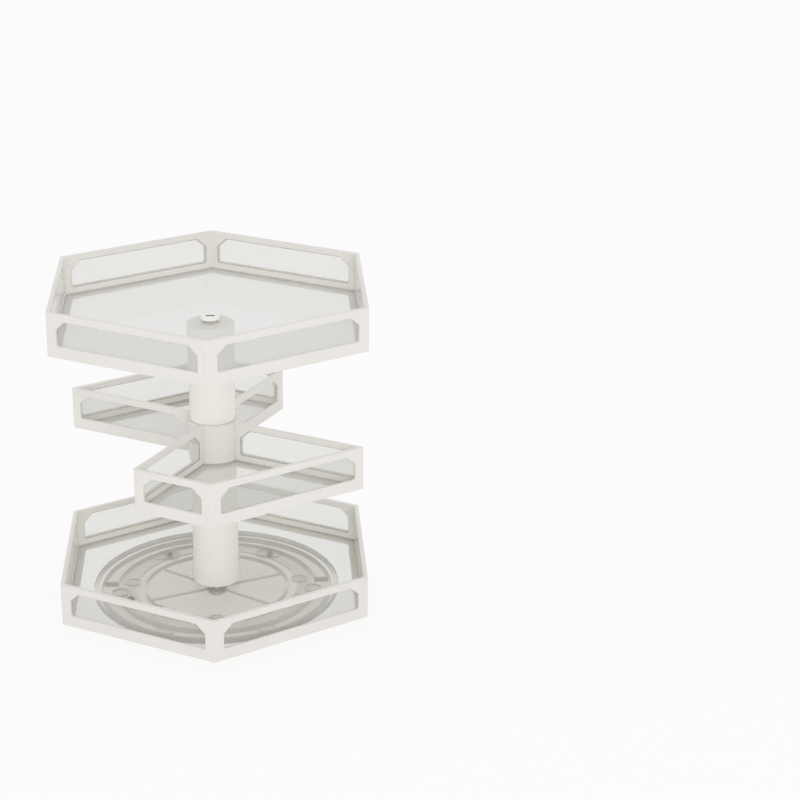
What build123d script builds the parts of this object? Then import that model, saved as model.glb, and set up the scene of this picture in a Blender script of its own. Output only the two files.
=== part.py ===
from build123d import *
import os
from math import cos, radians, tan

# Rotating tray organiser: a hexagonal tray at the bottom and one at the top, two quarter
# trays that swing between them, and one column that carries them all on a turntable with
# a ball race. Millimetres, +Z up. The origin lies on the table, under the column, and one
# corner of every hexagon points towards -Y.

# ---- trays
corner_radius = 130.0       # hexagon, centre to corner
quarter_radius = 128.0      # quarter trays stand a little inside the hexagons
frame_height = 32.5
wall = 3.0
top_rail = 5.1
bottom_rail = 8.6
post = 7.8                  # solid width from a corner to its window
bracket_width = 7.2         # sloped bracket in both upper corners of a window
bracket_height = 6.5
ledge_width = 5.3           # inner ledge that the clear floor lies on
ledge_thickness = 1.2
floor_thickness = 2.2
floor_gap = 0.15            # floor edge to wall
panel_thickness = 1.2       # clear panel behind each window
panel_lap = 1.1             # pocket around the window that the panel lies in
panel_gap = 0.1
corner_round = 1.2
rim_round = 0.5
swing_gap = 1.0             # quarter tray's inner sides, off the plane through the axis

# ---- levels, measured up from the table
base_height = 9.2           # underside of the bottom tray
quarter_level = base_height + 104.4
top_level = base_height + 210.3

# ---- column
tube_end_radius = 17.5      # moulded tubes, drawn in slightly towards the middle
tube_neck_radius = 16.9
tube_bore = 14.5
spigot_radius = 14.45       # plugs inside the tubes
spigot_length = 20.0
journal_radius = 15.5       # the quarter trays' rings turn on this
running_clearance = 0.07
core_bore = 12.0
ring_radius = 18.2          # outside of the quarter trays' rings
hub_clear_radius = 18.7     # quarter tray's inner wall stays outside the other one's ring
washer_radius = 17.9
washer_thickness = 0.5
axial_gap = 0.3
foot_plug_height = 12.0
tube_cap_thickness = 4.0

# ---- tie bolt, cap nut and foot screws
bolt_radius = 3.0
bolt_hole = 3.15
bolt_head_radius = 7.0
bolt_head_bottom = 0.5
bolt_head_top = 2.0
bolt_shoulder_radius = 4.0
nut_head_radius = 7.0
nut_head_height = 2.8       # over the floor
nut_neck_radius = 5.9       # narrower step under the head
nut_neck_height = 0.6
nut_sleeve_radius = 5.0
nut_sleeve_length = 15.0
nut_hole = 5.15
slot_length = 6.4
slot_width = 2.2
slot_depth = 1.4
bolt_end = 0.6              # bolt's upper end, over the floor
screw_circle = 11.5
screw_angles = (30, 150, 270)
screw_head_radius = 2.6
screw_head_height = 1.6
screw_radius = 1.5
screw_hole = 1.6
screw_length = 14.0

# ---- turntable
upper_disc_radius = 93.5
upper_plate = 2.2
skirt_width = 1.8
skirt_height = 4.2
lower_disc_radius = 88.0
lower_disc_bottom = 1.6
lower_plate = 2.0
lower_rim_width = 1.8
lower_rim_height = 2.6
hub_radius = 8.0
hub_top = 6.6
hub_recess_radius = 7.8
hub_recess_top = 2.3
rib_width = 1.6
rib_height = 1.2
rib_angles = (22, 142, 202, 322)
inner_ring_radius = 54.5
outer_ring_radius = 76.0
ring_rib_height = 2.4
race_radius = 67.5
ball_radius = 2.4
ball_height = 5.3           # ball centres above the table
ball_count = 5
first_ball_angle = 52
ball_clearance = 0.06
cage_width = 11.0
cage_bottom = 4.7
cage_thickness = 1.2
cage_pocket = 2.9
pad_circle = 63.5           # clear pads between the disc and the tray floor
pad_radius = 6.0
pad_count = 8
foot_circle = 74.0
foot_radius = 6.5
foot_count = 6
foot_recess = 0.6
slot_inner = 75.0           # radial slots that key the tray floor to the disc
slot_outer = 85.5
key_width = 2.2
key_gap = 0.2
key_depth = 1.6

# ---- worked out from the above
pocket_depth = wall - panel_thickness - panel_gap
disc_top = base_height
disc_underside = disc_top - upper_plate
lower_plate_top = lower_disc_bottom + lower_plate
floor_level = base_height + ledge_thickness
pad_height = floor_level - disc_top
column_foot = floor_level + floor_thickness
top_floor_level = top_level + ledge_thickness
top_floor_face = top_floor_level + floor_thickness
core_top = quarter_level + frame_height
ring_height = (frame_height - 3 * washer_thickness - 4 * axial_gap) / 2
low_ring_offset = washer_thickness + axial_gap
high_ring_offset = low_ring_offset + ring_height + washer_thickness + 2 * axial_gap


def at_height(sketch, bottom, height):
    """Prism of the sketch from the given height above the table."""
    return Pos(0, 0, bottom) * extrude(sketch, height)


def disc(radius, bottom, height):
    return at_height(Circle(radius), bottom, height)


def around(count, radius, first_angle=0.0):
    """Places spaced evenly on a circle about the column."""
    step = 360 / count
    return [Rot(0, 0, first_angle + step * i) * Pos(radius, 0, 0) for i in range(count)]


def group(solids, name):
    """One node that holds separate solids."""
    node = Compound(children=list(solids))
    node.label = name
    return node


# ---- tray outlines

def hexagon_corners():
    return [Vector(0, -corner_radius).rotate(Axis.Z, 60 * i) for i in range(6)]


def hexagon_sides():
    corners = hexagon_corners()
    return [(corners[i], corners[(i + 1) % 6]) for i in range(6)]


def quarter_corners():
    """Quarter tray before it is turned: its inner sides lie along +X and -Y."""
    depth = quarter_radius * cos(radians(30))
    back_off = swing_gap / tan(radians(60))
    return [
        Vector(swing_gap, -swing_gap),
        Vector(swing_gap, -depth),
        Vector(quarter_radius / 2, -depth),
        Vector(quarter_radius - back_off, -swing_gap),
    ]


def quarter_sides():
    hub, side_end, front, outer = quarter_corners()
    return [
        (Vector(swing_gap, -hub_clear_radius), side_end),
        (side_end, front),
        (front, outer),
        (outer, Vector(hub_clear_radius, -swing_gap)),
    ]


def outline_of(corners):
    return make_face(Polyline(*corners, close=True))


def hexagon_outline():
    return outline_of(hexagon_corners())


def quarter_outline():
    return outline_of(quarter_corners()) - Circle(hub_clear_radius)


def inset(outline, distance):
    return offset(outline, -distance, kind=Kind.INTERSECTION)


# ---- tray parts

def window_outline(length, margin):
    """Window in a side of the given length; margin enlarges it for the panel's pocket."""
    left = post
    right = length - post
    sill = bottom_rail
    head = frame_height - top_rail
    face = outline_of([
        Vector(left, sill),
        Vector(right, sill),
        Vector(right, head - bracket_height),
        Vector(right - bracket_width, head),
        Vector(left + bracket_width, head),
        Vector(left, head - bracket_height),
    ])
    if margin:
        face = inset(face, -margin)
    return face


def side_plane(start, end, depth):
    """Plane on a tray side, depth inside its outer face: x along the side, y up."""
    along = (end - start).normalized()
    outward = Vector(along.Y, -along.X)
    return Plane(origin=start - outward * depth, x_dir=along, z_dir=outward)


def windows(sides, depth_from, depth_to, margin):
    """Window-shaped solids through every side, between two depths from the outer face."""
    solids = []
    for start, end in sides:
        shape = side_plane(start, end, depth_to) * window_outline((end - start).length, margin)
        solids.append(extrude(shape, depth_to - depth_from))
    return solids


def tray_frame(outline, sides):
    """White one-piece frame: walls with windows, panel pockets and a ledge for the floor."""
    body = extrude(fillet(outline.vertices(), corner_round) - inset(outline, wall), frame_height)
    rim = body.edges().group_by(Axis.Z)[-1]
    body = fillet(rim, rim_round)
    body += extrude(inset(outline, wall - 0.5) - inset(outline, wall + ledge_width), ledge_thickness)
    for cutter in windows(sides, -1.0, wall + 1.0, 0):
        body -= cutter
    for cutter in windows(sides, pocket_depth, wall + 1.0, panel_lap):
        body -= cutter
    return body


def tray_floor(outline, bottom):
    return at_height(inset(outline, wall + floor_gap), bottom, floor_thickness)


def tray_panels(sides):
    lap = panel_lap - panel_gap
    return windows(sides, pocket_depth, pocket_depth + panel_thickness, lap)


def hub_ring(offset_up):
    """Ring that turns on the column, joined to the tray's curved inner wall."""
    quadrant = Pos(swing_gap, -swing_gap) * Rectangle(60, 60, align=(Align.MIN, Align.MAX))
    root = Circle(hub_clear_radius + wall / 2) & quadrant
    shape = Circle(ring_radius) + root - Circle(journal_radius + running_clearance)
    return at_height(shape, offset_up, ring_height)


def hexagon_tray(name, level):
    place = Pos(0, 0, level)
    nodes = {name + "_frame": place * tray_frame(hexagon_outline(), hexagon_sides())}
    panels = [place * panel for panel in tray_panels(hexagon_sides())]
    nodes[name + "_windows"] = group(panels, name + "_windows")
    return nodes


def quarter_tray(name, turn, ring_offset):
    place = Pos(0, 0, quarter_level) * Rot(0, 0, turn)
    outline = quarter_outline()
    frame = tray_frame(outline, quarter_sides()) + hub_ring(ring_offset)
    panels = [place * panel for panel in tray_panels(quarter_sides())]
    return {
        name + "_frame": place * frame,
        name + "_floor": place * tray_floor(outline, ledge_thickness),
        name + "_windows": group(panels, name + "_windows"),
    }


def bottom_floor():
    """Clear floor with two keys underneath that drop into the disc's slots."""
    plate = tray_floor(hexagon_outline(), floor_level) - disc(bolt_hole, floor_level - 1, 10)
    for spot in screw_spots():
        plate -= spot * disc(screw_hole, floor_level - 1, 10)
    length = slot_outer - slot_inner - 2 * key_gap
    middle = (slot_outer + slot_inner) / 2
    for spot in around(2, middle):
        key = spot * Rectangle(length, key_width)
        plate += at_height(key, floor_level - pad_height - key_depth, pad_height + key_depth)
    return plate


def top_floor():
    plate = tray_floor(hexagon_outline(), top_floor_level)
    return plate - disc(nut_hole, top_floor_level - 1, 10)


# ---- turntable

def screw_spots():
    return [Rot(0, 0, angle) * Pos(screw_circle, 0, 0) for angle in screw_angles]


def race_groove():
    tube = Plane.XZ * Pos(race_radius, ball_height) * Circle(ball_radius + ball_clearance)
    return revolve(tube, Axis.Z)


def lower_disc():
    body = disc(lower_disc_radius, lower_disc_bottom, lower_plate)
    rim = Circle(lower_disc_radius) - Circle(lower_disc_radius - lower_rim_width)
    body += at_height(rim, lower_plate_top, lower_rim_height)
    for radius in (inner_ring_radius, outer_ring_radius):
        ring = Circle(radius + rib_width / 2) - Circle(radius - rib_width / 2)
        body += at_height(ring, lower_plate_top, ring_rib_height)
    for angle in rib_angles:
        rib = Rectangle(inner_ring_radius, rib_width, align=(Align.MIN, Align.CENTER))
        body += at_height(Rot(0, 0, angle) * rib, lower_plate_top, rib_height)
    body += disc(hub_radius, lower_plate_top, hub_top - lower_plate_top)
    body -= disc(hub_recess_radius, lower_disc_bottom - 1, hub_recess_top - lower_disc_bottom + 1)
    body -= disc(bolt_shoulder_radius + running_clearance, 0, 20)
    for spot in around(foot_count, foot_circle):
        body -= spot * disc(foot_radius + 0.1, lower_disc_bottom - 1, foot_recess + 1)
    return body - race_groove()


def rubber_feet():
    height = lower_disc_bottom + foot_recess
    foot = disc(foot_radius, 0, height)
    foot = fillet(foot.edges().group_by(Axis.Z)[0], 0.5)
    return group([spot * foot for spot in around(foot_count, foot_circle)], "rubber_feet")


def upper_disc():
    body = disc(upper_disc_radius, disc_underside, upper_plate)
    body = fillet(body.edges().group_by(Axis.Z)[-1], 0.6)
    skirt = Circle(upper_disc_radius) - Circle(upper_disc_radius - skirt_width)
    body += at_height(skirt, disc_top - skirt_height, skirt_height - upper_plate / 2)
    body -= disc(bolt_hole, 0, 20)
    for spot in screw_spots():
        body -= spot * disc(screw_hole, 0, 20)
    middle = (slot_outer + slot_inner) / 2
    for spot in around(2, middle):
        slot = spot * Rectangle(slot_outer - slot_inner, key_width + 2 * key_gap)
        body -= at_height(slot, 0, 20)
    return body - race_groove()


def bearing_balls():
    ball = Pos(0, 0, ball_height) * Sphere(ball_radius)
    spots = around(ball_count, race_radius, first_ball_angle)
    return group([spot * ball for spot in spots], "bearing_balls")


def ball_cage():
    ring = Circle(race_radius + cage_width / 2) - Circle(race_radius - cage_width / 2)
    for spot in around(ball_count, race_radius, first_ball_angle):
        ring -= spot * Circle(cage_pocket)
    return at_height(ring, cage_bottom, cage_thickness)


def tray_pads():
    pad = disc(pad_radius, disc_top, pad_height)
    return group([spot * pad for spot in around(pad_count, pad_circle)], "tray_pads")


# ---- column

def drafted_tube(bottom, bottom_radius, top, top_radius):
    """Moulded tube whose outside tapers slightly; the bore is straight."""
    half = make_face(Polyline(
        (tube_bore, bottom),
        (bottom_radius, bottom),
        (top_radius, top),
        (tube_bore, top),
        close=True,
    ))
    return revolve(Plane.XZ * half, Axis.Z)


def lower_tube():
    tube = drafted_tube(column_foot, tube_end_radius, quarter_level, tube_neck_radius)
    return fillet(tube.edges().group_by(Axis.Z)[0].sort_by(SortBy.LENGTH)[-1], 0.5)


def upper_tube():
    tube = drafted_tube(core_top, tube_neck_radius, top_floor_level, tube_end_radius)
    tube += disc(tube_bore + 0.5, top_floor_level - tube_cap_thickness, tube_cap_thickness)
    tube = fillet(tube.edges().group_by(Axis.Z)[-1], 0.5)
    return tube - disc(nut_hole, core_top, 100)


def foot_plug():
    plug = disc(spigot_radius, column_foot, foot_plug_height)
    plug -= disc(bolt_hole, column_foot, foot_plug_height)
    for spot in screw_spots():
        plug -= spot * disc(screw_hole, column_foot, foot_plug_height)
    return plug


def column_core():
    """Sleeve that joins the tubes; its thicker middle is the quarter trays' journal."""
    core = disc(spigot_radius, quarter_level - spigot_length, frame_height + 2 * spigot_length)
    core += disc(journal_radius, quarter_level, frame_height)
    return core - disc(core_bore, 0, 250)


def hub_washers():
    ring = Circle(washer_radius) - Circle(journal_radius + 0.05)
    step = washer_thickness + 2 * axial_gap + ring_height
    levels = [quarter_level + step * i for i in range(3)]
    return group([at_height(ring, level, washer_thickness) for level in levels], "hub_washers")


def tie_bolt():
    end = top_floor_face + bolt_end
    bolt = disc(bolt_head_radius, bolt_head_bottom, bolt_head_top - bolt_head_bottom)
    bolt = fillet(bolt.edges().group_by(Axis.Z)[0], 0.5)
    bolt += disc(bolt_shoulder_radius, bolt_head_top, disc_underside - bolt_head_top)
    shank = disc(bolt_radius, disc_underside, end - disc_underside)
    return bolt + chamfer(shank.edges().group_by(Axis.Z)[-1], 0.6)


def foot_screws():
    head = disc(screw_head_radius, disc_underside - screw_head_height, screw_head_height)
    head = fillet(head.edges().group_by(Axis.Z)[0], 0.6)
    recess = Rectangle(3.0, 0.7) + Rectangle(0.7, 3.0)
    head -= at_height(recess, disc_underside - screw_head_height, 0.9)
    screw = head + disc(screw_radius, disc_underside, screw_length)
    return group([spot * screw for spot in screw_spots()], "foot_screws")


def cap_nut():
    """Slotted nut on the tie bolt that clamps the top tray down on the column."""
    head_bottom = top_floor_face + nut_neck_height
    head = disc(nut_head_radius, head_bottom, nut_head_height - nut_neck_height)
    head = fillet(head.edges().group_by(Axis.Z)[-1], 0.8)
    slot_floor = top_floor_face + nut_head_height - slot_depth
    head -= at_height(Rectangle(slot_length, slot_width), slot_floor, slot_depth)
    nut = head + disc(nut_neck_radius, top_floor_face, nut_neck_height)
    nut += disc(nut_sleeve_radius, top_floor_face - nut_sleeve_length, nut_sleeve_length)
    bore_height = nut_sleeve_length + bolt_end + 0.3
    return nut - disc(bolt_radius + 0.05, top_floor_face - nut_sleeve_length, bore_height)


nodes = {
    "lower_disc": lower_disc(),
    "rubber_feet": rubber_feet(),
    "ball_cage": ball_cage(),
    "bearing_balls": bearing_balls(),
    "upper_disc": upper_disc(),
    "tray_pads": tray_pads(),
    "tie_bolt": tie_bolt(),
    "foot_screws": foot_screws(),
    "foot_plug": foot_plug(),
    "lower_tube": lower_tube(),
    "column_core": column_core(),
    "hub_washers": hub_washers(),
    "upper_tube": upper_tube(),
    "cap_nut": cap_nut(),
    "bottom_tray_floor": bottom_floor(),
    "top_tray_floor": top_floor(),
}
nodes.update(hexagon_tray("bottom_tray", base_height))
nodes.update(hexagon_tray("top_tray", top_level))
nodes.update(quarter_tray("front_tray", -30, low_ring_offset))
nodes.update(quarter_tray("back_tray", 150, high_ring_offset))

os.makedirs("parts", exist_ok=True)
for name, shape in nodes.items():
    export_step(shape, "parts/" + name + ".step")
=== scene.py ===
import math

import bmesh
import bpy
from bpy.props import FloatProperty, FloatVectorProperty, IntProperty, PointerProperty
from mathutils import Matrix, Vector


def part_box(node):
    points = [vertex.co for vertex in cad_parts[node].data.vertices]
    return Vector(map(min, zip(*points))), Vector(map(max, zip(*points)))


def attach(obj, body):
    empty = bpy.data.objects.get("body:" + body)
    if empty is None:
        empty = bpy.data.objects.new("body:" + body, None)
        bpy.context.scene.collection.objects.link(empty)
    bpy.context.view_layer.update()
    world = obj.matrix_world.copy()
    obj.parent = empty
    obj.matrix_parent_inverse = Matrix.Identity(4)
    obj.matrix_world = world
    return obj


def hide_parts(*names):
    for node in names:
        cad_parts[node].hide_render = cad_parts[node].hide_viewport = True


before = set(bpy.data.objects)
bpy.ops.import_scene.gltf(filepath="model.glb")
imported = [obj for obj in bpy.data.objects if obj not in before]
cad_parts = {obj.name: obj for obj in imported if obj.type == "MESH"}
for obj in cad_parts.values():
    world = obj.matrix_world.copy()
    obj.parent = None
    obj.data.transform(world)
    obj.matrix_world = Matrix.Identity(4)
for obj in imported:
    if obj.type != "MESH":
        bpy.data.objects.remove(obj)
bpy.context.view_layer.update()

bl_info = {
    "name": "Rotating tray organiser",
    "version": (1, 0, 0),
    "blender": (4, 5, 0),
    "location": "3D View > Sidebar > Organiser",
    "description": "Dresses the packed tray organiser: moulded frames, clear sheets and a small studio",
    "category": "Object",
}

# Lengths are metres, in the part's own frame: +Z up, the table at z = 0, the column on the
# Z axis, and one corner of every hexagon towards -Y.
mm = 0.001

# Clear plastic stays this far from what it touches, because a ray sees only one of two
# faces that lie in the same place.
film = 0.03 * mm


# ---- colours

def linear(code):
    """Linear RGBA of an sRGB hex colour."""
    channels = [int(code[i:i + 2], 16) / 255 for i in (0, 2, 4)]
    return [c / 12.92 if c <= 0.04045 else ((c + 0.055) / 1.055) ** 2.4 for c in channels] + [1.0]


# ---- what a user may change

def length(name, description, default):
    """A size, in metres."""
    return FloatProperty(
        name=name, description=description, default=default, min=0, precision=5, unit="LENGTH")


def angle(name, description, degrees):
    """An angle, kept in radians."""
    return FloatProperty(
        name=name, description=description, default=math.radians(degrees), unit="ROTATION")


def colour(name, description, code):
    """A colour, kept as linear RGBA."""
    return FloatVectorProperty(
        name=name, description=description, default=linear(code), size=4, min=0, max=1, subtype="COLOR")


class TrayShape(bpy.types.PropertyGroup):
    """Sizes that the tray frames and their clear panels share."""

    corner_radius: length("Corner radius", "Hexagonal tray, centre to corner", 130 * mm)
    quarter_radius: length("Quarter tray radius", "Quarter tray, column to outer corner", 128 * mm)
    height: length("Height", "Height of a tray's walls", 32.5 * mm)
    wall: length("Wall", "Thickness of a tray's walls", 3.0 * mm)
    top_rail: length("Top rail", "Height of the rail over the windows", 5.1 * mm)
    bottom_rail: length("Bottom rail", "Height of the rail under the windows", 8.6 * mm)
    post: length("Post", "From a corner to its window", 7.8 * mm)
    bracket_width: length("Bracket width", "Bracket in a window's upper corners, along the rail", 7.2 * mm)
    bracket_height: length("Bracket height", "Bracket in a window's upper corners, down the post", 6.5 * mm)
    window_round: length("Window rounding", "Radius in the corners of a window", 1.3 * mm)
    pocket_depth: length("Pocket depth", "From the outer face to the clear panel", 1.7 * mm)
    pocket_lap: length("Pocket lap", "How far the panel's pocket reaches past the window", 1.1 * mm)
    panel_thickness: length("Panel thickness", "Thickness of the clear panels", 1.2 * mm)
    panel_gap: length("Panel gap", "Clearance round a clear panel in its pocket", 0.1 * mm)
    ledge_width: length("Ledge width", "Inner ledge that the clear floor lies on", 5.3 * mm)
    ledge_thickness: length("Ledge thickness", "Thickness of the inner ledge", 1.2 * mm)
    floor_thickness: length("Floor thickness", "Thickness of the clear floors", 2.2 * mm)
    floor_gap: length("Floor gap", "Clearance between a clear floor and the walls", 0.15 * mm)
    corner_round: length("Corner rounding", "Radius of the upright outer corners", 1.2 * mm)
    rim_round: length("Rim rounding", "Radius along the upper rim", 0.5 * mm)
    edge_round: length("Edge rounding", "Radius along the windows and the lower edge", 0.3 * mm)
    swing_gap: length("Swing gap", "From a quarter tray's inner side to the plane through the axis", 1.0 * mm)
    hub_clear_radius: length("Hub radius", "Curved inner wall of a quarter tray", 18.7 * mm)
    ring_outer: length("Ring radius", "Outside of the ring that turns on the column", 18.2 * mm)
    ring_inner: length("Ring bore", "Bore of the ring that turns on the column", 15.57 * mm)
    ring_height: length("Ring height", "Height of each ring", 14.9 * mm)


class Turntable(bpy.types.PropertyGroup):
    """Holes and keys of the clear floors, and the turntable's pads and feet."""

    nut_hole: length("Nut hole", "Radius of the cap nut's hole in the top tray's floor", 5.15 * mm)
    bolt_hole: length("Bolt hole", "Radius of the tie bolt's hole in the bottom tray's floor", 3.15 * mm)
    screw_hole: length("Screw hole", "Radius of the foot screws' holes", 1.6 * mm)
    screw_circle: length("Screw circle", "Radius that the foot screws stand on", 11.5 * mm)
    key_inner: length("Key start", "From the axis to the inner end of a key", 75.2 * mm)
    key_outer: length("Key end", "From the axis to the outer end of a key", 85.3 * mm)
    key_width: length("Key width", "Width of the two keys under the bottom tray's floor", 2.2 * mm)
    key_depth: length("Key depth", "How far a key reaches below the floor", 2.8 * mm)
    pad_circle: length("Pad circle", "Radius that the clear pads lie on", 63.5 * mm)
    pad_radius: length("Pad radius", "Radius of a clear pad", 6.0 * mm)
    pad_count: IntProperty(name="Pads", description="Number of clear pads", default=8, min=1)
    foot_circle: length("Foot circle", "Radius that the feet stand on", 74.0 * mm)
    foot_radius: length("Foot radius", "Radius of a foot", 6.5 * mm)
    foot_count: IntProperty(name="Feet", description="Number of feet", default=6, min=1)
    rubber_round: length("Rubber rounding", "Radius along the edges of pads and feet", 0.35 * mm)


class Finishes(bpy.types.PropertyGroup):
    """Colours of the organiser's materials."""

    frame_white: colour("Frame white", "Moulded tray frames", "EAE7E3")
    frame_shade: colour("Frame shade", "Slow drift of colour across the moulding", "E4E0DB")
    column_white: colour("Column white", "Column tubes", "F4F2EC")
    cap_white: colour("Cap white", "Cap nut", "F7F5EF")
    # Painted shade for the cap nut's slot and the rim under its head.
    slot_shade: colour("Slot shade", "Dust in the cap nut's slot", "4A4742")
    hidden_white: colour("Natural nylon", "Parts inside the column, and the rings' washers", "E4E1D8")
    sheet_tint: colour("Sheet tint", "Haze of a clear sheet, and what one face lets the eye see", "F5F5F4")
    lamp_tint: colour("Lamp tint", "Lamp light that passes one face of clear plastic", "FCFCFB")
    # Painted shade for the cut edges of the clear sheets.
    sheet_edge_shade: colour("Sheet edge", "Sawn edge of a clear sheet", "9D9C97")
    disc_tint: colour("Disc haze", "Haze of the turntable's clear discs", "E6E2DC")
    disc_light: colour("Disc light", "What one face of a clear disc or pad lets the eye see", "FAF9F7")
    # Painted shade for the discs' upright rims and ribs, seen edge on.
    disc_edge_shade: colour("Disc edge", "Upright rims and ribs of the clear discs, seen edge on", "9B958C")
    pad_tint: colour("Pad haze", "Haze of the silicone pads and feet", "E6E3DD")
    # Painted shade for the upright sides of the pads and feet.
    pad_edge_shade: colour("Pad edge", "Sides of the silicone pads and feet", "77736D")
    steel: colour("Steel", "Bearing balls", "383736")
    plating: colour("Zinc plating", "Bolt and screws", "C3C2BD")


class Studio(bpy.types.PropertyGroup):
    """Camera, floor and light."""

    eye: FloatVectorProperty(
        name="Camera place", description="Where the camera stands", default=(0.0291, -1.4138, 0.7113),
        size=3, subtype="TRANSLATION", unit="LENGTH")
    lens: FloatProperty(name="Focal length", description="Camera lens", default=91.4, min=1, unit="CAMERA")
    pitch: angle("Pitch", "Camera below the horizon", 21.36)
    heading: angle("Heading", "Camera turned from +Y towards +X", 4.49)
    roll: angle("Roll", "Camera turned about its own line of sight", 0.63)
    ambient: FloatProperty(
        name="Ambient", description="Strength of the even light from all round", default=0.80, min=0)
    key: FloatProperty(
        name="Key lamp", description="Lamp in front, a little to the right", default=21, min=0, unit="POWER")
    fill: FloatProperty(name="Fill lamp", description="Lamp on the left", default=3, min=0, unit="POWER")
    floor_white: colour("Floor", "Floor under the organiser", "F7F7F6")
    floor_glow: FloatProperty(
        name="Floor white", description="Share of plain white in the floor that the camera sees",
        default=0.85, min=0, max=1, subtype="FACTOR")
    clear_faces: IntProperty(
        name="Clear faces", description="Faces of clear plastic that one ray of light may pass",
        default=32, min=8)


# ---- nodes and materials

def add_node(tree, kind, settings=None, inputs=None):
    """Adds a node. An input takes a value or another node's output."""
    node = tree.nodes.new(kind)
    for name, value in (settings or {}).items():
        setattr(node, name, value)
    for name, value in (inputs or {}).items():
        if isinstance(value, bpy.types.NodeSocket):
            tree.links.new(value, node.inputs[name])
        else:
            node.inputs[name].default_value = value
    return node


def new_material(name):
    """An empty node material and its tree."""
    material = bpy.data.materials.new(name)
    material.use_nodes = True
    material.node_tree.nodes.clear()
    return material, material.node_tree


def per_metre(size):
    """Scale of a pattern whose features are this big."""
    return 1 / size


def darker(tone, share):
    """The colour with its light cut to this share."""
    return [c * share for c in tone[:3]] + [1.0]


def seen_as_background(tree):
    """1 for what the camera or a mirror sees, also through glass, and 0 for light on the organiser."""
    path = add_node(tree, "ShaderNodeLightPath")
    seen = add_node(tree, "ShaderNodeMath", {"operation": "MAXIMUM"}, {
        0: path.outputs["Is Camera Ray"], 1: path.outputs["Is Glossy Ray"]})
    seen = add_node(tree, "ShaderNodeMath", {"operation": "MAXIMUM"}, {
        0: seen.outputs["Value"], 1: path.outputs["Is Transmission Ray"]})
    return seen.outputs["Value"]


# Nearly all values of a noise texture lie between these.
NOISE_SPREAD = {"From Min": 0.3, "From Max": 0.7}


def uneven(tree, size, detail, low, high):
    """A value that wanders between two limits, in patches of this size."""
    place = add_node(tree, "ShaderNodeTexCoord").outputs["Object"]
    marks = add_node(tree, "ShaderNodeTexNoise", {}, {
        "Vector": place, "Scale": per_metre(size), "Detail": detail})
    limits = add_node(tree, "ShaderNodeMapRange", {}, {
        "Value": marks.outputs["Fac"], **NOISE_SPREAD, "To Min": low, "To Max": high})
    return limits.outputs["Result"]


def moulded_surface(tree, first, second, drift, grain, low, high):
    """Inputs of a moulded plastic: slow drift of colour, uneven gloss and a fine grain."""
    place = add_node(tree, "ShaderNodeTexCoord").outputs["Object"]
    cloud = add_node(tree, "ShaderNodeTexNoise", {}, {
        "Vector": place, "Scale": per_metre(drift), "Detail": 3.0})
    tone = add_node(tree, "ShaderNodeMix", {"data_type": "RGBA"}, {
        "Factor": cloud.outputs["Fac"], "A": first, "B": second})
    gloss = add_node(tree, "ShaderNodeMapRange", {}, {
        "Value": cloud.outputs["Fac"], **NOISE_SPREAD, "To Min": low, "To Max": high})
    speckle = add_node(tree, "ShaderNodeTexNoise", {}, {
        "Vector": place, "Scale": per_metre(grain), "Detail": 2.0})
    bump = add_node(tree, "ShaderNodeBump", {}, {
        "Height": speckle.outputs["Fac"], "Strength": 0.5, "Distance": 0.02 * mm})
    return {
        "Base Color": tone.outputs["Result"],
        "Roughness": gloss.outputs["Result"],
        "Normal": bump.outputs["Normal"],
    }


def moulded_abs(name, colours):
    """ABS, injection moulded in a finely blasted tool: an even satin white."""
    material, tree = new_material(name)
    # The blasted grain is about 0.1 mm; it is drawn at 0.9 mm so that it shows.
    inputs = moulded_surface(
        tree, colours.frame_white, colours.frame_shade,
        drift=60 * mm, grain=0.9 * mm, low=0.34, high=0.44)
    shader = add_node(tree, "ShaderNodeBsdfPrincipled", {}, {"IOR": 1.54, **inputs})
    add_node(tree, "ShaderNodeOutputMaterial", {}, {"Surface": shader.outputs["BSDF"]})
    return material


def moulded_polypropylene(name, colours):
    """Polypropylene tube, moulded: a little warmer and waxier than the frames."""
    material, tree = new_material(name)
    # The tool's polish lines are finer than 0.1 mm; they are drawn at 1.1 mm so that they show.
    inputs = moulded_surface(
        tree, colours.column_white, darker(colours.column_white, 0.95),
        drift=45 * mm, grain=1.1 * mm, low=0.40, high=0.50)
    shader = add_node(tree, "ShaderNodeBsdfPrincipled", {}, {"IOR": 1.49, **inputs})
    add_node(tree, "ShaderNodeOutputMaterial", {}, {"Surface": shader.outputs["BSDF"]})
    return material


def slotted_cap(name, colours):
    """Polypropylene cap nut: the tube's plastic, whiter, with painted shade in the slot and under the head.
    """
    material, tree = new_material(name)
    # Painted shade: recesses narrower than about 3 mm are closed in enough to look dark, and are coloured
    # dark.
    open_to_air = add_node(
        tree, "ShaderNodeAmbientOcclusion", {"only_local": True, "samples": 12}, {"Distance": 3 * mm})
    unshaded = add_node(tree, "ShaderNodeMapRange", {}, {
        "Value": open_to_air.outputs["AO"], "From Min": 0.5, "From Max": 0.85})
    # Painted shade: the slot colour where the recess closes in, the cap's white where it is open.
    tone = add_node(tree, "ShaderNodeMix", {"data_type": "RGBA"}, {
        "Factor": unshaded.outputs["Result"], "A": colours.slot_shade, "B": colours.cap_white})
    shader = add_node(tree, "ShaderNodeBsdfPrincipled", {}, {
        "Base Color": tone.outputs["Result"], "Roughness": 0.38, "IOR": 1.49})
    add_node(tree, "ShaderNodeOutputMaterial", {}, {"Surface": shader.outputs["BSDF"]})
    return material


def natural_nylon(name, colours):
    """Nylon in its natural colour, moulded: milky and a little rough."""
    material, tree = new_material(name)
    # Its grain is about 0.1 mm; it is drawn at 0.8 mm so that it shows.
    inputs = moulded_surface(
        tree, colours.hidden_white, darker(colours.hidden_white, 0.93),
        drift=30 * mm, grain=0.8 * mm, low=0.45, high=0.55)
    shader = add_node(tree, "ShaderNodeBsdfPrincipled", {}, {"IOR": 1.53, **inputs})
    add_node(tree, "ShaderNodeOutputMaterial", {}, {"Surface": shader.outputs["BSDF"]})
    return material


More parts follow.
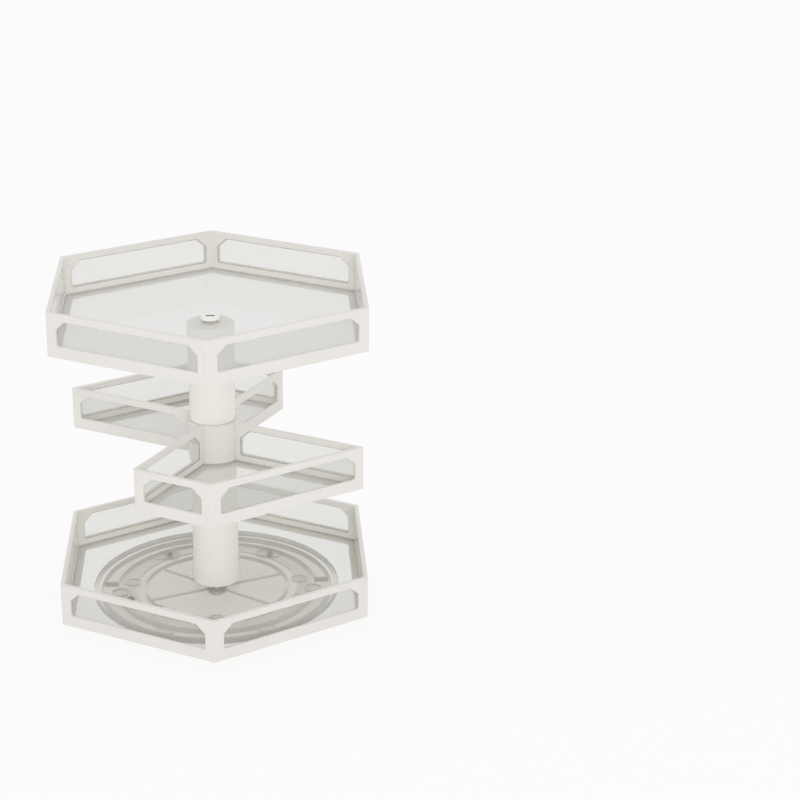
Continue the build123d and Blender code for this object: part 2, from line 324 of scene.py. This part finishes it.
def let_lamps_through(tree, shader, tint):
    """Lets light reach what stands behind clear plastic, which the shader alone would shade."""
    path = add_node(tree, "ShaderNodeLightPath")
    lighting = add_node(tree, "ShaderNodeMath", {"operation": "MAXIMUM"}, {
        0: path.outputs["Is Shadow Ray"], 1: path.outputs["Is Diffuse Ray"]})
    clear = add_node(tree, "ShaderNodeBsdfTransparent", {}, {"Color": tint})
    both = add_node(tree, "ShaderNodeMixShader", {}, {
        "Fac": lighting.outputs["Value"], 1: shader, 2: clear.outputs["BSDF"]})
    return both.outputs["Shader"]


def clear_plastic(tree, body, tint, lamp_tint, haze, roughness, ior, normal=None):
    """Thin clear plastic: what stands behind shows straight through, under a haze and a gloss."""
    # A thin wall mirrors alike from both sides. So does Facing, and a Fresnel node doesn't.
    slant = add_node(tree, "ShaderNodeLayerWeight", {}, {"Blend": 0.5})
    mirror = add_node(tree, "ShaderNodeMath", {"operation": "POWER"}, {
        0: slant.outputs["Facing"], 1: 5.0})
    share = add_node(tree, "ShaderNodeMath", {"operation": "ADD", "use_clamp": True}, {
        0: mirror.outputs["Value"], 1: haze})
    clear = add_node(tree, "ShaderNodeBsdfTransparent", {}, {"Color": tint})
    face = add_node(tree, "ShaderNodeBsdfPrincipled", {}, {
        "Base Color": body, "Roughness": roughness, "IOR": ior})
    if normal:
        tree.links.new(normal, face.inputs["Normal"])
    both = add_node(tree, "ShaderNodeMixShader", {}, {
        "Fac": share.outputs["Value"], 1: clear.outputs["BSDF"], 2: face.outputs["BSDF"]})
    add_node(tree, "ShaderNodeOutputMaterial", {}, {
        "Surface": let_lamps_through(tree, both.outputs["Shader"], lamp_tint)})


def clear_sheet(name, colours):
    """Clear PET sheet, extruded and cut: nearly invisible face on, with a faint haze and gloss."""
    material, tree = new_material(name)
    # Handling marks of 20 to 30 mm, which change only the haze.
    haze = uneven(tree, size=25 * mm, detail=1.0, low=0.08, high=0.10)
    clear_plastic(
        tree, body=colours.sheet_tint, tint=colours.sheet_tint, lamp_tint=colours.lamp_tint,
        haze=haze, roughness=0.06, ior=1.57)
    return material


def sheet_edge_shade(name, colours):
    """Cut edge of the clear sheet, which gathers light; saw marks and a frosted haze, and painted shade that
    makes it greyer than the faces.
    """
    material, tree = new_material(name)
    place = add_node(tree, "ShaderNodeTexCoord").outputs["Object"]
    # Saw marks of about 0.1 mm, drawn at 0.8 mm so that they show.
    marks = add_node(tree, "ShaderNodeTexNoise", {}, {"Vector": place, "Scale": per_metre(0.8 * mm)})
    bump = add_node(tree, "ShaderNodeBump", {}, {
        "Height": marks.outputs["Fac"], "Strength": 0.3, "Distance": 0.05 * mm})
    clear_plastic(
        tree, body=colours.sheet_edge_shade, tint=colours.sheet_tint, lamp_tint=colours.lamp_tint,
        haze=0.55, roughness=0.3, ior=1.57, normal=bump.outputs["Normal"])
    return material


def uprightness(tree):
    """0 on level faces and 1 on upright ones, where clear plastic is seen edge on and gets painted shade."""
    facing = add_node(tree, "ShaderNodeTexCoord").outputs["Normal"]
    parts = add_node(tree, "ShaderNodeSeparateXYZ", {}, {"Vector": facing})
    level = add_node(tree, "ShaderNodeMath", {"operation": "ABSOLUTE"}, {0: parts.outputs["Z"]})
    upright = add_node(tree, "ShaderNodeMapRange", {}, {
        "Value": level.outputs["Value"], "From Min": 0.2, "From Max": 0.9, "To Min": 1.0, "To Max": 0.0})
    return upright.outputs["Result"]


def moulded_clear(tree, colours, body, edge_shade, haze, edge_haze, roughness, ior):
    """Clear moulding whose upright faces, seen edge on, are hazier and carry painted shade that makes them
    darker than its level ones.
    """
    upright = uprightness(tree)
    share = add_node(tree, "ShaderNodeMix", {"data_type": "FLOAT"}, {
        "Factor": upright, "A": haze, "B": edge_haze})
    tone = add_node(tree, "ShaderNodeMix", {"data_type": "RGBA"}, {
        "Factor": upright, "A": body, "B": edge_shade})
    clear_plastic(
        tree, body=tone.outputs["Result"], tint=colours.disc_light, lamp_tint=colours.lamp_tint,
        haze=share.outputs["Result"], roughness=roughness, ior=ior)


def clear_styrene(name, colours):
    """Clear styrene disc, injection moulded: a milky haze, and painted shade on ribs and rims seen edge on.
    """
    material, tree = new_material(name)
    # Flow marks of 20 to 30 mm left by the melt, which change only the haze.
    flow = uneven(tree, size=25 * mm, detail=2.0, low=0.06, high=0.09)
    moulded_clear(
        tree, colours, body=colours.disc_tint, edge_shade=colours.disc_edge_shade,
        haze=flow, edge_haze=0.65, roughness=0.12, ior=1.59)
    return material


def clear_silicone(name, colours):
    """Clear silicone rubber, moulded: soft, milky and grippy."""
    material, tree = new_material(name)
    # Dust that the rubber holds, in specks of about 1 mm.
    dust = uneven(tree, size=1.2 * mm, detail=2.0, low=0.06, high=0.12)
    # Painted shade on the upright sides, seen edge on.
    moulded_clear(
        tree, colours, body=colours.pad_tint, edge_shade=colours.pad_edge_shade,
        haze=dust, edge_haze=0.75, roughness=0.35, ior=1.41)
    return material


def polished_steel(name, colours):
    """Chrome steel balls, ground and lapped: close to a mirror."""
    material, tree = new_material(name)
    place = add_node(tree, "ShaderNodeTexCoord").outputs["Object"]
    # Grease dulls the mirror in patches of about 1.5 mm.
    grease = add_node(tree, "ShaderNodeTexNoise", {}, {"Vector": place, "Scale": per_metre(1.5 * mm)})
    rough = add_node(tree, "ShaderNodeMapRange", {}, {
        "Value": grease.outputs["Fac"], "To Min": 0.06, "To Max": 0.2})
    shader = add_node(tree, "ShaderNodeBsdfPrincipled", {}, {
        "Base Color": colours.steel, "Metallic": 1.0, "Roughness": rough.outputs["Result"]})
    add_node(tree, "ShaderNodeOutputMaterial", {}, {"Surface": shader.outputs["BSDF"]})
    return material


def zinc_plated_steel(name, colours):
    """Zinc plated steel, barrel plated: bright, with a slightly patchy gloss."""
    material, tree = new_material(name)
    place = add_node(tree, "ShaderNodeTexCoord").outputs["Object"]
    # The plating's patches are 2 to 4 mm.
    patch = add_node(tree, "ShaderNodeTexNoise", {}, {
        "Vector": place, "Scale": per_metre(3 * mm), "Detail": 3.0})
    rough = add_node(tree, "ShaderNodeMapRange", {}, {
        "Value": patch.outputs["Fac"], "To Min": 0.2, "To Max": 0.42})
    shader = add_node(tree, "ShaderNodeBsdfPrincipled", {}, {
        "Base Color": colours.plating, "Metallic": 1.0, "Roughness": rough.outputs["Result"]})
    add_node(tree, "ShaderNodeOutputMaterial", {}, {"Surface": shader.outputs["BSDF"]})
    return material


MATERIALS = {
    "abs_moulded": moulded_abs,
    "polypropylene_moulded": moulded_polypropylene,
    "polypropylene_cap": slotted_cap,
    "nylon_natural": natural_nylon,
    "pet_sheet": clear_sheet,
    "pet_sheet_edge": sheet_edge_shade,
    "styrene_clear": clear_styrene,
    "silicone_clear": clear_silicone,
    "steel_polished": polished_steel,
    "steel_zinc_plated": zinc_plated_steel,
}

# Which material each carried-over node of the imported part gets.
NODE_FINISHES = {
    "lower_disc": "styrene_clear",
    "upper_disc": "styrene_clear",
    "ball_cage": "styrene_clear",
    "hub_washers": "nylon_natural",
    "column_core": "nylon_natural",
    "foot_plug": "nylon_natural",
    "bearing_balls": "steel_polished",
    "tie_bolt": "steel_zinc_plated",
    "foot_screws": "steel_zinc_plated",
    "lower_tube": "polypropylene_moulded",
    "upper_tube": "polypropylene_moulded",
    "cap_nut": "polypropylene_cap",
}


# ---- outlines, as lists of points

def hexagon_outline(trays):
    """Corners of a hexagonal tray, anticlockwise from the one towards -Y."""
    first = Vector((0, -trays.corner_radius, 0))
    return [Matrix.Rotation(math.radians(60 * i), 3, "Z") @ first for i in range(6)]


def quarter_outline(trays):
    """Corners of a quarter tray before it is turned, its inner sides along +X and -Y, then the
    points of the curved inner wall round the column, from the last corner to the first."""
    gap, hub = trays.swing_gap, trays.hub_clear_radius
    # The outer sides are a hexagon's: one lies along X, and the next leans against it.
    lean = math.radians(60)
    depth = trays.quarter_radius * math.sin(lean)
    corners = [
        Vector((gap, -hub, 0)),
        Vector((gap, -depth, 0)),
        Vector((trays.quarter_radius / 2, -depth, 0)),
        Vector((trays.quarter_radius - gap / math.tan(lean), -gap, 0)),
        Vector((hub, -gap, 0)),
    ]
    start = math.asin(gap / hub)
    steps = 12
    turns = [start + (math.pi / 2 - 2 * start) * i / steps for i in range(1, steps)]
    return corners, [Vector((hub * math.cos(t), -hub * math.sin(t), 0)) for t in turns]


def inset_outline(points, distance):
    """The closed outline this far inside another."""
    bm = bmesh.new()
    face = bm.faces.new([bm.verts.new(p) for p in points])
    face.normal_update()
    bmesh.ops.inset_individual(bm, faces=[face], thickness=distance, use_even_offset=True)
    bm.faces.ensure_lookup_table()
    inner = [v.co.copy() for v in bm.faces[0].verts]
    bm.free()
    return inner


def rounded_outline(points, radius):
    """The outline with an arc of this radius in each corner that isn't nearly straight."""
    nearly_straight = math.radians(150)
    bm = bmesh.new()
    face = bm.faces.new([bm.verts.new(p) for p in points])
    for vert, corner in [(loop.vert, loop.calc_angle()) for loop in face.loops]:
        if corner < nearly_straight:
            bmesh.ops.bevel(
                bm, geom=[vert], affect="VERTICES", offset=radius / math.tan(corner / 2),
                offset_type="OFFSET", segments=4, profile=0.5, material=-1)
    bm.faces.ensure_lookup_table()
    ring = [v.co.copy() for v in bm.faces[0].verts]
    bm.free()
    return ring


def side_matrix(start, end, depth):
    """Places a flat drawing this deep in a tray's side: x along the side, y up, z outwards."""
    along = (end - start).normalized()
    outward = Vector((along.y, -along.x, 0))
    axes = Matrix((along, Vector((0, 0, 1)), outward)).transposed().to_4x4()
    return Matrix.Translation(start - outward * depth) @ axes


def window_outline(trays, side_length, margin):
    """Window of a side, enlarged by the margin, with sloped brackets in its upper corners."""
    left, right = trays.post, side_length - trays.post
    sill, head = trays.bottom_rail, trays.height - trays.top_rail
    corners = [
        Vector((left, sill, 0)),
        Vector((right, sill, 0)),
        Vector((right, head - trays.bracket_height, 0)),
        Vector((right - trays.bracket_width, head, 0)),
        Vector((left + trays.bracket_width, head, 0)),
        Vector((left, head - trays.bracket_height, 0)),
    ]
    if margin:
        corners = inset_outline(corners, -margin)
    # An enlarged window is rounder in its corners, by this share of the margin.
    rounder = 0.4
    return rounded_outline(corners, trays.window_round + margin * rounder)


# ---- mesh building

def unique(items):
    """The items once each, in the order they came, so that every run makes the same mesh."""
    return list(dict.fromkeys(items))


def closed_edges(bm, points):
    """Adds a closed outline and gives its edges."""
    verts = [bm.verts.new(p) for p in points]
    return [bm.edges.new((verts[i - 1], verts[i])) for i in range(len(verts))]


def pulled(bm, edges, by):
    """Draws walls out from the edges and gives the edges at their far end."""
    made = bmesh.ops.extrude_edge_only(bm, edges=edges)["geom"]
    verts = [g for g in made if isinstance(g, bmesh.types.BMVert)]
    bmesh.ops.translate(bm, vec=by, verts=verts)
    ends = set(verts)
    return [g for g in made if isinstance(g, bmesh.types.BMEdge) and set(g.verts) <= ends]


def fill_between(bm, edges):
    """Fills between an outline and those inside it with flat faces."""
    made = bmesh.ops.triangle_fill(bm, edges=edges, use_beauty=True)["geom"]
    return [g for g in made if isinstance(g, bmesh.types.BMFace)]


def soften(bm, edges, radius, segments=2):
    """Rounds the edges off."""
    bmesh.ops.bevel(
        bm, geom=edges, affect="EDGES", offset=radius, offset_type="OFFSET", segments=segments,
        profile=0.5, material=-1, clamp_overlap=True)


def wall_skin(bm, outline, height, holes):
    """Upright skin on an outline. holes pairs the middle of a side with its window's edges.
    Gives the lower and the upper edges."""
    low = closed_edges(bm, outline)
    high = pulled(bm, low, (0, 0, height))
    faces = [f for e in low for f in e.link_faces]
    for middle, hole in holes:
        side = min(faces, key=lambda f: (f.calc_center_median().xy - middle.xy).length)
        rim = list(side.edges)
        faces.remove(side)
        bmesh.ops.delete(bm, geom=[side], context="FACES_ONLY")
        fill_between(bm, rim + hole)
    return low, high


def tray_walls(bm, trays, outline, sides):
    """Walls of one tray in one piece, with a window and a stepped pocket behind it in each side."""
    step = trays.pocket_depth
    inner_round = 0.4 * mm
    outer_holes, inner_holes, window_rims = [], [], []
    for start, end in sides:
        span = (end - start).length
        middle = (start + end) / 2
        outside, inside = side_matrix(start, end, 0), side_matrix(start, end, trays.wall)
        outward = outside.col[2].xyz
        window = window_outline(trays, span, 0)
        pocket = window_outline(trays, span, trays.pocket_lap)
        front = closed_edges(bm, [outside @ p for p in window])
        back = closed_edges(bm, [inside @ p for p in pocket])
        reveal = pulled(bm, front, -outward * step)
        seat = pulled(bm, back, outward * (trays.wall - step))
        fill_between(bm, reveal + seat)
        outer_holes.append((middle, front))
        inner_holes.append((middle - outward * trays.wall, back))
        window_rims += front
    outer = rounded_outline(outline, trays.corner_round)
    inner = rounded_outline(inset_outline(outline, trays.wall), inner_round)
    low_out, high_out = wall_skin(bm, outer, trays.height, outer_holes)
    low_in, high_in = wall_skin(bm, inner, trays.height, inner_holes)
    fill_between(bm, low_out + low_in)
    fill_between(bm, high_out + high_in)
    bmesh.ops.recalc_face_normals(bm, faces=bm.faces)
    soften(bm, high_out + high_in, trays.rim_round, segments=3)
    soften(bm, [e for e in window_rims if e.is_valid], trays.edge_round)
    soften(bm, [e for e in low_out if e.is_valid], trays.edge_round)


def tray_ledge(bm, trays, outline):
    """Ledge inside the walls, on which the clear floor lies."""
    # It reaches into the walls, so that no gap shows between them.
    into_wall = 0.5 * mm
    outer = inset_outline(outline, trays.wall - into_wall)
    inner = inset_outline(outline, trays.wall + trays.ledge_width)
    flat = fill_between(bm, closed_edges(bm, outer) + closed_edges(bm, inner))
    raised = bmesh.ops.extrude_face_region(bm, geom=flat)["geom"]
    verts = [g for g in raised if isinstance(g, bmesh.types.BMVert)]
    bmesh.ops.translate(bm, vec=(0, 0, trays.ledge_thickness), verts=verts)
    faces = unique(flat + [f for v in verts for f in v.link_faces])
    bmesh.ops.recalc_face_normals(bm, faces=faces)


def turning_ring(bm, trays, bottom):
    """Ring that turns on the column, with its web to the tray's curved inner wall."""
    bore, rim, chamfer = trays.ring_inner, trays.ring_outer, 0.35 * mm
    top = bottom + trays.ring_height
    profile = [
        (bore, bottom), (rim - chamfer, bottom), (rim, bottom + chamfer),
        (rim, top - chamfer), (rim - chamfer, top), (bore, top),
    ]
    edges = closed_edges(bm, [Vector((r, 0, z)) for r, z in profile])
    verts = unique(v for e in edges for v in e.verts)
    bmesh.ops.spin(
        bm, geom=verts + edges, cent=(0, 0, 0), axis=(0, 0, 1), angle=2 * math.pi, steps=96,
        use_merge=True)
    # The web reaches into the ring and the wall, so that no gap shows between them.
    into_ring, into_wall = 0.6 * mm, 1.5 * mm
    near, far = rim - into_ring, trays.hub_clear_radius + into_wall
    web = [(near, bottom), (far, bottom), (far, top), (near, top)]
    start = math.asin(trays.swing_gap / rim)
    turn = Matrix.Rotation(-start, 3, "Z")
    section = bm.faces.new([bm.verts.new(turn @ Vector((r, 0, z))) for r, z in web])
    bmesh.ops.spin(
        bm, geom=[section, *section.edges, *section.verts], cent=(0, 0, 0), axis=(0, 0, 1),
        angle=-(math.pi / 2 - 2 * start), steps=24)


def tray_panels(bm, trays, sides):
    """Clear panels behind the windows; their cut edges take the second material."""
    margin = trays.pocket_lap - trays.panel_gap
    for start, end in sides:
        shape = window_outline(trays, (end - start).length, margin)
        place = side_matrix(start, end, trays.pocket_depth + trays.panel_thickness)
        face = bm.faces.new([bm.verts.new(place @ p) for p in shape])
        made = bmesh.ops.extrude_face_region(bm, geom=[face], use_keep_orig=True)["geom"]
        verts = [g for g in made if isinstance(g, bmesh.types.BMVert)]
        bmesh.ops.translate(bm, vec=place.col[2].xyz * (trays.panel_thickness - film), verts=verts)
    # The panels' faces are all larger than this, and their cut edges all smaller.
    smallest_face = 600 * mm * mm
    for f in bm.faces:
        f.material_index = int(f.calc_area() < smallest_face)
    bmesh.ops.recalc_face_normals(bm, faces=bm.faces)


def clear_floor(bm, trays, outline, holes, keys, key_depth):
    """Clear sheet on a tray's ledge. holes are centres with radii; keys are outlines of
    tongues that hang below the sheet. What isn't level takes the second material."""
    low = Vector((0, 0, trays.ledge_thickness + film))
    rise = Vector((0, 0, trays.floor_thickness - 2 * film))
    under = closed_edges(bm, [p + low for p in inset_outline(outline, trays.wall + trays.floor_gap)])
    rim = pulled(bm, under, rise)
    over = list(rim)
    for centre, radius in holes:
        place = Matrix.Translation(centre + low)
        circle = bmesh.ops.create_circle(bm, segments=40, radius=radius, matrix=place)
        edges = unique(e for v in circle["verts"] for e in v.link_edges)
        under += edges
        over += pulled(bm, edges, rise)
    for shape in keys:
        edges = closed_edges(bm, [p + low for p in shape])
        under += edges
        bmesh.ops.contextual_create(bm, geom=pulled(bm, edges, Vector((0, 0, -key_depth))))
    fill_between(bm, under)
    fill_between(bm, over)
    bmesh.ops.recalc_face_normals(bm, faces=bm.faces)
    edge_break, level = 0.2 * mm, 0.9
    soften(bm, rim, edge_break, segments=1)
    for f in bm.faces:
        f.normal_update()
        f.material_index = int(abs(f.normal.z) < level)


def rubber_disc(bm, radius, low, high, rounding):
    """Flat round piece of rubber with rolled edges; low and high are the middles of its ends."""
    made = bmesh.ops.create_cone(
        bm, cap_ends=True, segments=40, radius1=radius, radius2=radius, depth=(high - low).z,
        matrix=Matrix.Translation((low + high) / 2))
    # Only the two ends have more than four corners.
    ends = unique(f for v in made["verts"] for f in v.link_faces if len(f.verts) > 4)
    soften(bm, unique(e for f in ends for e in f.edges), rounding, segments=3)


def spaced(count, radius):
    """Points spaced evenly on a circle about the column."""
    first = Vector((radius, 0, 0))
    return [Matrix.Rotation(2 * math.pi * i / count, 3, "Z") @ first for i in range(count)]


def closed_sides(corners):
    """Start and end of each side of a closed outline."""
    return list(zip(corners, corners[1:] + corners[:1], strict=True))


def finished_piece(bm, name, body, materials, replaced, place=Matrix()):
    """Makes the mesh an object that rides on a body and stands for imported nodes."""
    weld, sharp = 0.002 * mm, math.radians(40)
    bmesh.ops.transform(bm, matrix=place, verts=bm.verts)
    bmesh.ops.remove_doubles(bm, verts=bm.verts, dist=weld)
    bmesh.ops.recalc_face_normals(bm, faces=bm.faces)
    for f in bm.faces:
        f.smooth = True
    mesh = bpy.data.meshes.new(name)
    bm.to_mesh(mesh)
    bm.free()
    mesh.set_sharp_from_angle(angle=sharp)
    for material in materials:
        mesh.materials.append(bpy.data.materials[material])
    piece = bpy.data.objects.new(name, mesh)
    bpy.context.scene.collection.objects.link(piece)
    shading = piece.modifiers.new("Even shading", "WEIGHTED_NORMAL")
    shading.keep_sharp = True
    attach(piece, body)
    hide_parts(*replaced)


# ---- trays

SHEET_MATERIALS = ["pet_sheet", "pet_sheet_edge"]
HEXAGON_TRAYS = ("bottom_tray", "top_tray")

# Name, which is also the body's; turn about the column in degrees; and how far the ring's
# underside lies above the tray's.
QUARTER_TRAYS = (
    ("front_tray", -30, 0.8 * mm),
    ("back_tray", 150, 16.8 * mm),
)


def tray_place(name, turn):
    """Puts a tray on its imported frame's underside, turned about the column by these degrees."""
    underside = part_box(name + "_frame")[0].z
    return Matrix.Translation((0, 0, underside)) @ Matrix.Rotation(math.radians(turn), 4, "Z")


def moulded_tray(trays, name, body, outline, sides, turn=0, ring_bottom=None):
    """One tray's frame and clear panels, and its ring where it has one."""
    place = tray_place(name, turn)
    bm = bmesh.new()
    tray_walls(bm, trays, outline, sides)
    tray_ledge(bm, trays, outline)
    if ring_bottom is not None:
        turning_ring(bm, trays, ring_bottom)
    finished_piece(
        bm, name + "_moulding", body, ["abs_moulded"], [name + "_frame"], place)
    bm = bmesh.new()
    tray_panels(bm, trays, sides)
    finished_piece(
        bm, name + "_clear_panels", body, SHEET_MATERIALS, [name + "_windows"], place)


# ---- operators

class ORGANISER_OT_finishes(bpy.types.Operator):
    """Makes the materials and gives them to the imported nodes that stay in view"""

    bl_idname = "organiser.finishes"
    bl_label = "Materials"

    def execute(self, context):
        for name, make in MATERIALS.items():
            make(name, context.scene.organiser_finishes)
        for node, name in NODE_FINISHES.items():
            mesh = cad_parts[node].data
            mesh.materials.clear()
            mesh.materials.append(bpy.data.materials[name])
        return {"FINISHED"}


class ORGANISER_OT_hexagon_trays(bpy.types.Operator):
    """Builds the moulded frames and clear panels of the bottom and top trays"""

    bl_idname = "organiser.hexagon_trays"
    bl_label = "Hexagonal trays"

    def execute(self, context):
        trays = context.scene.organiser_trays
        outline = hexagon_outline(trays)
        for name in HEXAGON_TRAYS:
            moulded_tray(trays, name, "carousel", outline, closed_sides(outline))
        return {"FINISHED"}


class ORGANISER_OT_quarter_trays(bpy.types.Operator):
    """Builds the moulded frames, rings and clear panels of the two quarter trays"""

    bl_idname = "organiser.quarter_trays"
    bl_label = "Quarter trays"

    def execute(self, context):
        trays = context.scene.organiser_trays
        corners, curve = quarter_outline(trays)
        # The side from the last corner to the first is the curved one, which has no window.
        straight = closed_sides(corners)[:-1]
        for name, turn, ring_bottom in QUARTER_TRAYS:
            moulded_tray(trays, name, name, corners + curve, straight, turn, ring_bottom)
        return {"FINISHED"}


class ORGANISER_OT_clear_floors(bpy.types.Operator):
    """Cuts the clear floors of the four trays"""

    bl_idname = "organiser.clear_floors"
    bl_label = "Clear floors"

    def execute(self, context):
        trays, table = context.scene.organiser_trays, context.scene.organiser_turntable
        screw_count, first_screw = 3, math.radians(30)
        turned = Matrix.Rotation(first_screw, 3, "Z")
        screws = [turned @ p for p in spaced(screw_count, table.screw_circle)]
        foot_holes = [(Vector(), table.bolt_hole)] + [(p, table.screw_hole) for p in screws]
        start, end, half = table.key_inner, table.key_outer, table.key_width / 2
        key = [Vector(p) for p in ((start, -half, 0), (end, -half, 0), (end, half, 0), (start, half, 0))]
        keys = [key, [Vector((-p.x, -p.y, 0)) for p in key]]
        hexagon = hexagon_outline(trays)
        corners, curve = quarter_outline(trays)
        floors = [
            ("bottom_tray", "carousel", 0, hexagon, foot_holes, keys),
            ("top_tray", "carousel", 0, hexagon, [(Vector(), table.nut_hole)], ()),
        ]
        floors += [(name, name, turn, corners + curve, (), ()) for name, turn, _ in QUARTER_TRAYS]
        for name, body, turn, outline, holes, tongues in floors:
            bm = bmesh.new()
            clear_floor(bm, trays, outline, holes, tongues, table.key_depth)
            finished_piece(
                bm, name + "_clear_floor", body, SHEET_MATERIALS, [name + "_floor"],
                tray_place(name, turn))
        return {"FINISHED"}


class ORGANISER_OT_rubber_parts(bpy.types.Operator):
    """Moulds the clear pads under the bottom tray and the feet of the turntable"""

    bl_idname = "organiser.rubber_parts"
    bl_label = "Pads and feet"

    def execute(self, context):
        table = context.scene.organiser_turntable
        for name, node, body, count, circle, radius in (
            ("soft_pads", "tray_pads", "carousel", table.pad_count, table.pad_circle, table.pad_radius),
            ("soft_feet", "rubber_feet", "base", table.foot_count, table.foot_circle, table.foot_radius),
        ):
            low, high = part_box(node)
            # The feet stand on the table itself; the pads keep off the clear disc under them.
            bottom = low.z + film if low.z > film else low.z
            ends = [Vector((0, 0, z)) for z in (bottom, high.z - film)]
            bm = bmesh.new()
            for spot in spaced(count, circle):
                rubber_disc(bm, radius, spot + ends[0], spot + ends[1], table.rubber_round)
            finished_piece(bm, name, body, ["silicone_clear"], [node])
        return {"FINISHED"}


class ORGANISER_OT_stage(bpy.types.Operator):
    """Sets up the floor, the lamps, the white surroundings and the camera"""

    bl_idname = "organiser.stage"
    bl_label = "Studio"

    def execute(self, context):
        scene = context.scene
        studio = scene.organiser_studio
        self.floor(scene, studio)
        self.surroundings(scene, studio)
        self.lamps(scene, studio)
        self.camera(scene, studio)
        scene.view_settings.view_transform = "Standard"
        # Light on its way to the table passes both faces of three floors, of the pads and of
        # two ribbed discs.
        scene.cycles.transparent_max_bounces = studio.clear_faces
        return {"FINISHED"}

    def floor(self, scene, studio):
        """White table top that keeps a soft shadow."""
        material, tree = new_material("floor_white_laminate")
        plain = add_node(tree, "ShaderNodeBsdfDiffuse", {}, {"Color": studio.floor_white})
        white = add_node(tree, "ShaderNodeEmission", {}, {"Color": linear("FFFFFF"), "Strength": 1.0})
        seen = seen_as_background(tree)
        share = add_node(tree, "ShaderNodeMath", {"operation": "MULTIPLY"}, {0: seen, 1: studio.floor_glow})
        both = add_node(tree, "ShaderNodeMixShader", {}, {
            "Fac": share.outputs["Value"], 1: plain.outputs["BSDF"], 2: white.outputs["Emission"]})
        add_node(tree, "ShaderNodeOutputMaterial", {}, {"Surface": both.outputs["Shader"]})
        # Metres from the middle to each side, so that the photograph's view sees no end of it.
        reach = 12
        bm = bmesh.new()
        bmesh.ops.create_grid(bm, x_segments=1, y_segments=1, size=reach)
        mesh = bpy.data.meshes.new("floor")
        bm.to_mesh(mesh)
        bm.free()
        mesh.materials.append(material)
        floor = bpy.data.objects.new("floor", mesh)
        scene.collection.objects.link(floor)

    def surroundings(self, scene, studio):
        """White all round: plain white where it is seen, and an even light on the organiser."""
        world = bpy.data.worlds.new("white_studio")
        world.use_nodes = True
        scene.world = world
        tree = world.node_tree
        tree.nodes.clear()
        plain = add_node(tree, "ShaderNodeBackground", {}, {
            "Color": linear("FFFFFF"), "Strength": studio.ambient})
        white = add_node(tree, "ShaderNodeBackground", {}, {"Color": linear("FFFFFF"), "Strength": 1.0})
        both = add_node(tree, "ShaderNodeMixShader", {}, {
            "Fac": seen_as_background(tree), 1: plain.outputs["Background"], 2: white.outputs["Background"]})
        add_node(tree, "ShaderNodeOutputWorld", {}, {"Surface": both.outputs["Shader"]})

    def lamps(self, scene, studio):
        """Two large soft boxes that look at the middle of the organiser."""
        middle = Vector((0, 0, 0.13))
        for name, power, size, place in (
            ("key_lamp", studio.key, 1.2, Vector((0.75, -3.0, 1.15))),
            ("fill_lamp", studio.fill, 1.4, Vector((-1.8, -1.2, 1.0))),
        ):
            lamp = bpy.data.lights.new(name, "AREA")
            lamp.energy = power
            lamp.shape = "DISK"
            lamp.size = size
            ob = bpy.data.objects.new(name, lamp)
            ob.location = place
            ob.rotation_euler = (middle - place).to_track_quat("-Z", "Y").to_euler()
            scene.collection.objects.link(ob)

    def camera(self, scene, studio):
        """The photograph's point of view."""
        lens = bpy.data.cameras.new("camera")
        lens.lens = studio.lens
        lens.sensor_width = 36
        lens.clip_start, lens.clip_end = 0.05, 100
        camera = bpy.data.objects.new("camera", lens)
        camera.matrix_world = (
            Matrix.Translation(studio.eye)
            @ Matrix.Rotation(-studio.heading, 4, "Z")
            @ Matrix.Rotation(math.pi / 2 - studio.pitch, 4, "X")
            @ Matrix.Rotation(studio.roll, 4, "Z"))
        scene.collection.objects.link(camera)
        scene.camera = camera


class ORGANISER_PT_sidebar(bpy.types.Panel):
    """Lists the steps that dress the organiser"""

    bl_label = "Organiser"
    bl_idname = "ORGANISER_PT_sidebar"
    bl_space_type = "VIEW_3D"
    bl_region_type = "UI"
    bl_category = "Organiser"

    def draw(self, context):
        for operator in OPERATORS:
            self.layout.operator(operator.bl_idname)


GROUPS = {
    "organiser_trays": TrayShape,
    "organiser_turntable": Turntable,
    "organiser_finishes": Finishes,
    "organiser_studio": Studio,
}
OPERATORS = (
    ORGANISER_OT_finishes,
    ORGANISER_OT_hexagon_trays,
    ORGANISER_OT_quarter_trays,
    ORGANISER_OT_clear_floors,
    ORGANISER_OT_rubber_parts,
    ORGANISER_OT_stage,
)


def register():
    for cls in (*GROUPS.values(), *OPERATORS, ORGANISER_PT_sidebar):
        bpy.utils.register_class(cls)
    for name, group in GROUPS.items():
        setattr(bpy.types.Scene, name, PointerProperty(type=group))


def unregister():
    for name in GROUPS:
        delattr(bpy.types.Scene, name)
    for cls in reversed((*GROUPS.values(), *OPERATORS, ORGANISER_PT_sidebar)):
        bpy.utils.unregister_class(cls)


def main():
    register()
    bpy.ops.organiser.finishes()
    bpy.ops.organiser.hexagon_trays()
    bpy.ops.organiser.quarter_trays()
    bpy.ops.organiser.clear_floors()
    bpy.ops.organiser.rubber_parts()
    bpy.ops.organiser.stage()


if __name__ == "__main__":
    main()
